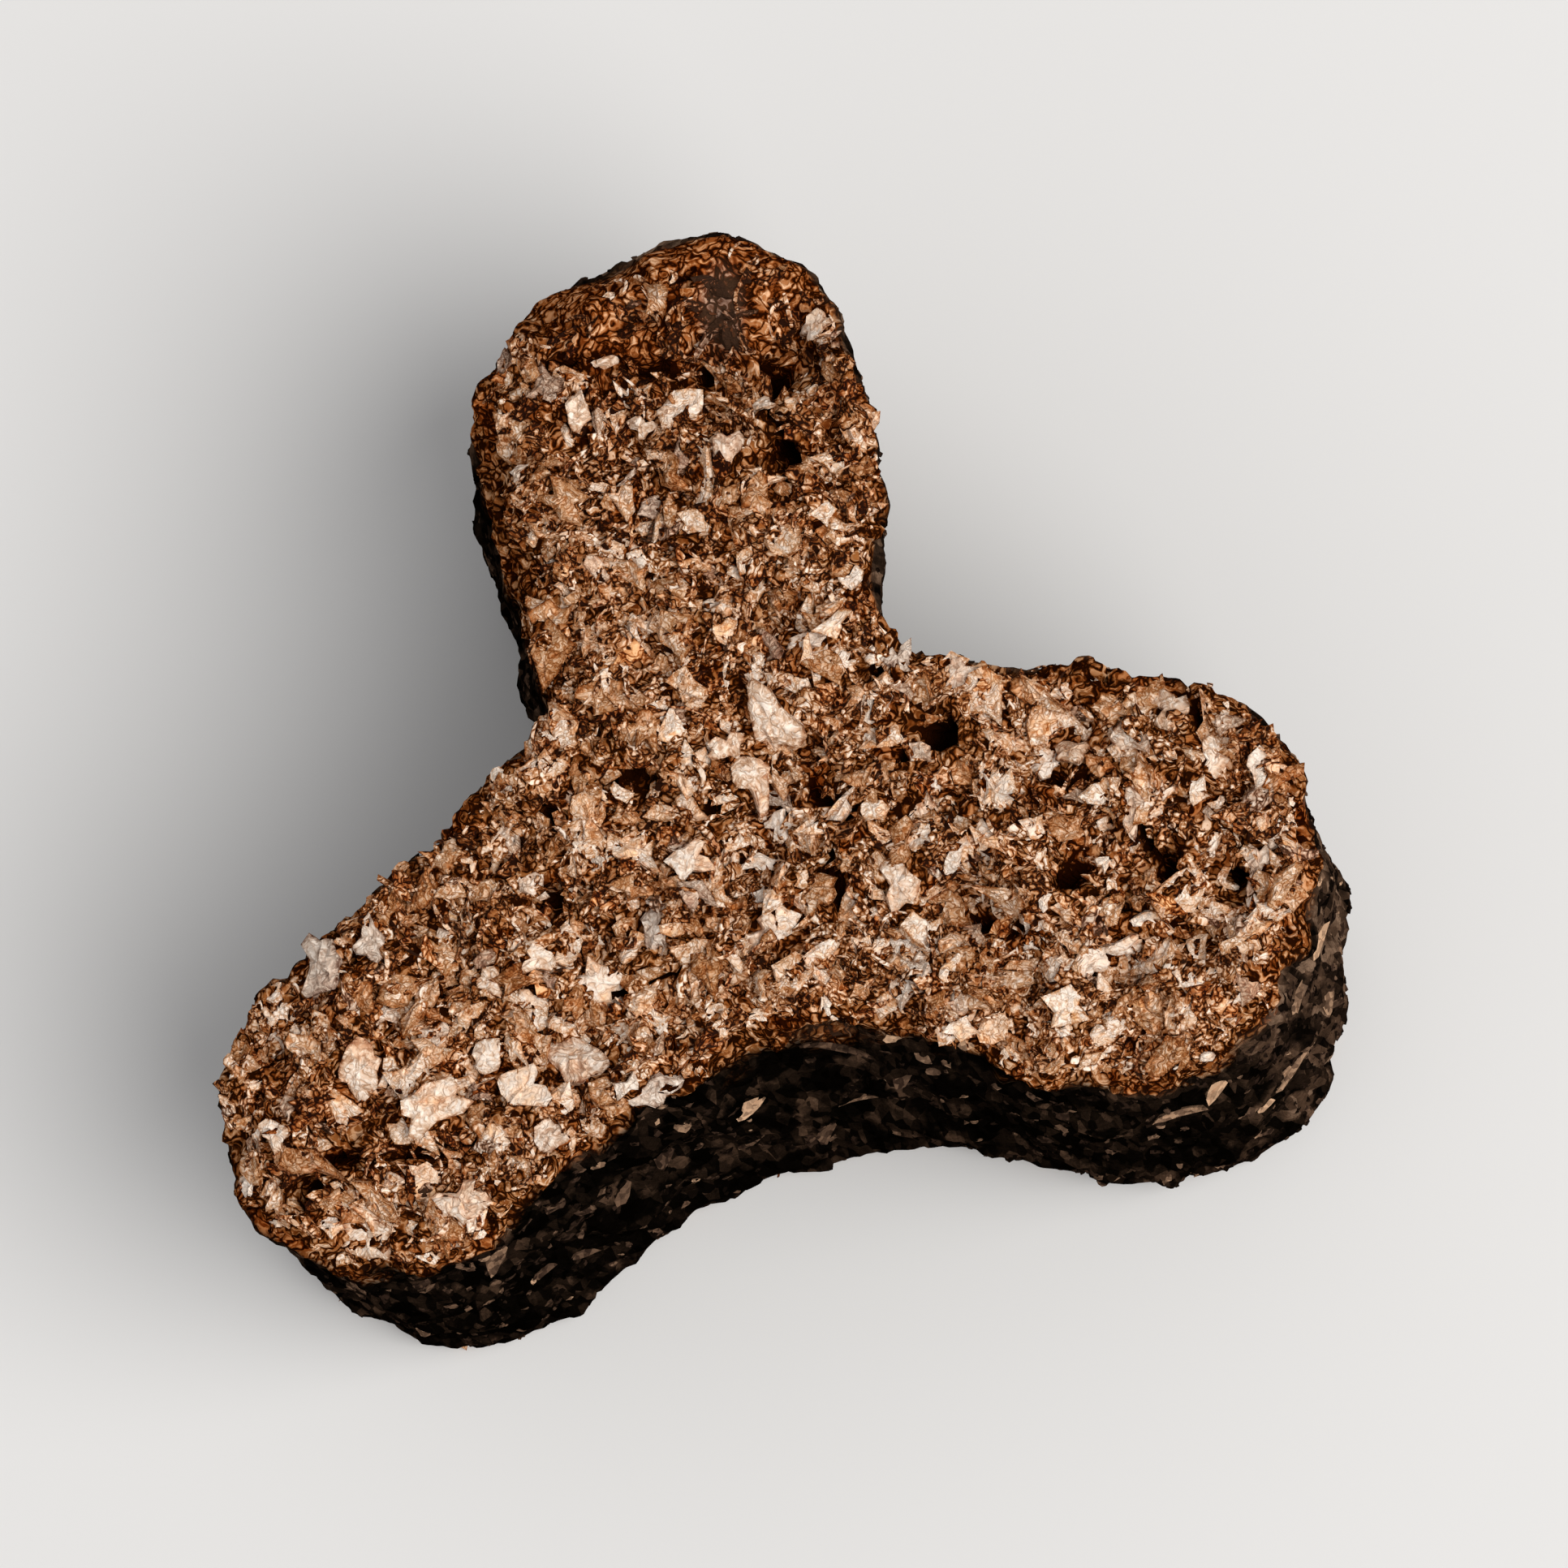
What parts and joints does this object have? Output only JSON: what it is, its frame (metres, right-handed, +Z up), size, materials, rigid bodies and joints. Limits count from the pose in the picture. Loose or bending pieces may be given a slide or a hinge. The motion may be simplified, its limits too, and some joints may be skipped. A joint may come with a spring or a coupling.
{
  "type": "soft dog treat",
  "caption": "Small soft dog treat, one thick slice of a three-lobed strand of coarse dough, with crumbly cut faces and pressed dark walls.",
  "frame": {"origin": "middle of the bounding box, at the height of the lower cut face that the treat lies on", "axes": "+Z up, from the lower cut face to the upper one; one lobe points to +X, one to +Y and the third between -X and -Y; +X is the longest extent and +Z the shortest"},
  "size_m": [0.0162, 0.0156, 0.0094],
  "materials": {
    "treat": "coarse, dry and matt on the cuts, darker and slightly greasy on the walls"
  },
  "bodies": {
    "root": {"treat": "treat"}
  },
  "joints": []
}
